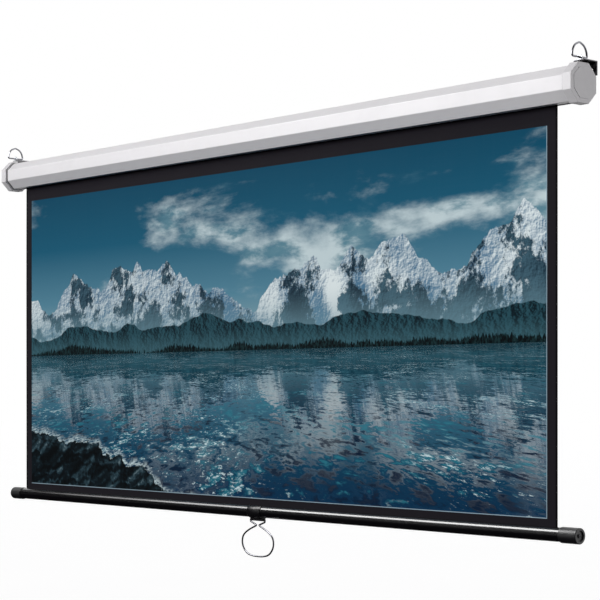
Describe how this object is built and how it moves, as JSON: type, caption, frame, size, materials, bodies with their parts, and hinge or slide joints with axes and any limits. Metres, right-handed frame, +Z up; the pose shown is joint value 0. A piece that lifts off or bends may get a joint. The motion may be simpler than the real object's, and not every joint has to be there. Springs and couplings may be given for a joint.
{
  "type": "projection screen",
  "caption": "Pull-down projection screen: octagonal white case with a sprung roller, taut fabric, round black bottom bar, wire pull ring and wire hanging bails.",
  "frame": {"origin": "midpoint between the two hook points, at the inside of the bails' tops", "axes": "+X to the right seen from the front, along the case; +Y back to the wall; +Z up"},
  "size_m": [1.9308, 0.0765, 1.0264],
  "materials": {
    "white_enamel": "smooth white stoved enamel, satin",
    "light_grey_plastic": "moulded, fine satin",
    "dark_steel": "dark satin coat on folded sheet",
    "zinc_steel": "bright zinc plate",
    "blackened_steel": "black oxide, on the bar caps' screws",
    "chrome_wire": "polished chrome on bent wire",
    "spring_steel": "oiled, darker than zinc",
    "black_enamel": "gloss black",
    "black_plastic": "moulded, satin black",
    "natural_plastic": "uncoloured nylon",
    "printed_fabric": "matt coated cloth, black border and back, landscape in teal and navy on the face",
    "black_fabric": "matt black coated cloth"
  },
  "bodies": {
    "case": {"case_shell": "white_enamel", "shell_plug_left": "black_plastic", "shell_plug_right": "black_plastic", "end_bracket_left": "dark_steel", "end_bracket_right": "dark_steel", "end_cap_left": "light_grey_plastic", "end_cap_right": "light_grey_plastic", "bracket_screw_upper_left": "zinc_steel", "bracket_screw_upper_right": "zinc_steel", "bracket_screw_lower_left": "zinc_steel", "bracket_screw_lower_right": "zinc_steel", "shell_screw_left": "zinc_steel", "shell_screw_right": "zinc_steel", "projection_fabric": "printed_fabric", "idle_bush": "black_plastic", "spring_arbor": "zinc_steel", "spring_anchor": "natural_plastic", "anchor_pin": "spring_steel", "ratchet_wheel": "zinc_steel"},
    "roller": {"roller_tube": "zinc_steel", "fabric_wraps": "black_fabric", "idle_plug": "natural_plastic", "idle_pin": "zinc_steel", "drive_plug": "natural_plastic", "arbor_bush": "black_plastic", "torsion_spring": "spring_steel", "pawl_pin_1": "spring_steel", "pawl_pin_2": "spring_steel"},
    "upper_pawl": {"pawl_1": "zinc_steel"},
    "lower_pawl": {"pawl_2": "zinc_steel"},
    "bottom_bar": {"bar_tube": "black_enamel", "hem_rod": "zinc_steel", "hem_wrap": "black_fabric", "bar_plug_left": "natural_plastic", "bar_plug_right": "natural_plastic", "bar_cap_left": "black_plastic", "bar_cap_right": "black_plastic", "bar_cap_screw_left": "blackened_steel", "bar_cap_screw_right": "blackened_steel", "pull_saddle": "black_plastic", "saddle_screw_left": "zinc_steel", "saddle_screw_right": "zinc_steel"},
    "ring": {"pull_ring": "chrome_wire"},
    "left_bail": {"hanging_bail_left": "chrome_wire"},
    "right_bail": {"hanging_bail_right": "chrome_wire"}
  },
  "joints": [
    {"name": "bar_slide", "type": "slide", "parent": "case", "child": "bottom_bar", "axis": [0, 0, 1], "range_m": [0, 0.7885], "deforming": ["projection_fabric"]},
    {"name": "roller_spin", "type": "hinge", "parent": "case", "child": "roller", "pos_m": [0, -0.0106, -0.0743], "axis": [1, 0, 0], "range_deg": [0, 2521]},
    {"name": "pull_ring_swing", "type": "hinge", "parent": "bottom_bar", "child": "ring", "pos_m": [0.03025, 0.00625, -0.9364], "axis": [1, 0, 0], "range_deg": [-90, 90]},
    {"name": "bail_left_swing", "type": "hinge", "parent": "case", "child": "left_bail", "pos_m": [-0.95345, 0, -0.0253], "axis": [0, 1, 0], "range_deg": [-90, 90]},
    {"name": "bail_right_swing", "type": "hinge", "parent": "case", "child": "right_bail", "pos_m": [0.95345, 0, -0.0253], "axis": [0, 1, 0], "range_deg": [-90, 90]},
    {"name": "pawl_1_swing", "type": "hinge", "parent": "roller", "child": "upper_pawl", "pos_m": [0.90385, 0.0029, -0.0743], "axis": [1, 0, 0], "range_deg": [0, 12]},
    {"name": "pawl_2_swing", "type": "hinge", "parent": "roller", "child": "lower_pawl", "pos_m": [0.90385, -0.0241, -0.0743], "axis": [1, 0, 0], "range_deg": [0, 12]}
  ],
  "couplings": [
    {"joint": "roller_spin", "follows": "bar_slide", "rad_per_m": 55.779}
  ]
}
